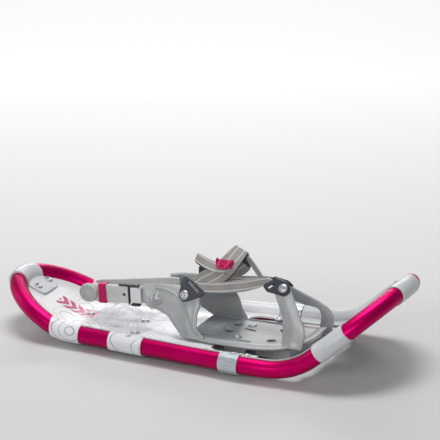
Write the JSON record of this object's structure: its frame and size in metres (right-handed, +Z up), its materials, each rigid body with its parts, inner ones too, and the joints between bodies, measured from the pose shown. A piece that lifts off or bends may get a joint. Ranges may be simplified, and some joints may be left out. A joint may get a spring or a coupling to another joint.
{
  "type": "snowshoe",
  "caption": "Snowshoe with a bent tube frame, plastic decks, steel crampons and a pivoting binding with a heel strap and webbing.",
  "frame": {"origin": "on the ground under the middle of the length, on the centre line", "axes": "+X towards the toe, +Y to the wearer's left, +Z up"},
  "size_m": [0.5387, 0.2326, 0.1222],
  "materials": {
    "anodised_tube": "magenta anodised aluminium tube, satin",
    "bare_aluminium": "brushed bare aluminium",
    "steel": "stamped and zinc plated steel",
    "steel_rivet": "polished rivet head",
    "white_deck": "white coated deck sheet",
    "grey_deck": "light grey deck sheet",
    "grey_moulding": "light grey moulded elastomer, fine matt grain",
    "nylon_bush": "black nylon",
    "navy_moulding": "dark navy glass-filled nylon",
    "magenta_moulding": "magenta moulded plastic",
    "white_moulding": "glossy white plastic",
    "elastic_strap": "translucent beige-grey elastomer",
    "webbing": "grey woven webbing with light edge stripes"
  },
  "bodies": {
    "frame": {"frame_tube": "anodised_tube", "frame_splice": "bare_aluminium", "main_deck": "white_deck", "front_deck": "grey_deck", "tail_clip": "grey_moulding", "pivot_clamp_left": "bare_aluminium", "pivot_clamp_right": "bare_aluminium", "pivot_rod": "steel", "heel_crampon": "steel", "tail_clip_rivets": "steel_rivet", "heel_crampon_rivets": "steel_rivet", "clamp_rivets": "steel_rivet"},
    "binding": {"binding_base": "grey_moulding", "toe_crampon": "steel", "pivot_bush_left": "nylon_bush", "pivot_bush_right": "nylon_bush", "instep_wing_left": "grey_moulding", "instep_wing_right": "grey_moulding", "toe_wing_left": "grey_moulding", "toe_wing_right": "grey_moulding", "instep_loop_left": "navy_moulding", "instep_loop_right": "navy_moulding", "toe_loop_left": "navy_moulding", "toe_loop_right": "navy_moulding", "side_strap_left": "webbing", "side_strap_right": "webbing", "instep_strap": "webbing", "strap_tail": "webbing", "quick_pull_frame": "magenta_moulding", "crampon_rivets": "steel_rivet", "instep_loop_rivets": "steel_rivet", "toe_loop_rivets": "steel_rivet", "heel_rivets": "steel_rivet"},
    "heel_strap_body": {"heel_strap": "elastic_strap", "heel_strap_end": "elastic_strap", "strap_keeper": "magenta_moulding", "heel_buckle": "navy_moulding", "buckle_plate": "white_moulding"},
    "lever": {"quick_pull_lever": "magenta_moulding"}
  },
  "joints": [
    {"name": "binding_pivot", "type": "hinge", "parent": "frame", "child": "binding", "pos_m": [0.072, 0, 0.011], "axis": [0, 1, 0], "range_deg": [0, 45]},
    {"name": "heel_strap_swing", "type": "hinge", "parent": "binding", "child": "heel_strap_body", "pos_m": [-0.0568, 0, 0.0635], "axis": [0, 1, 0], "range_deg": [-12, 70]},
    {"name": "buckle_release", "type": "hinge", "parent": "binding", "child": "lever", "pos_m": [0.028, -0.0176, 0.1169], "axis": [-1, 0, 0], "range_deg": [0, 40]}
  ]
}
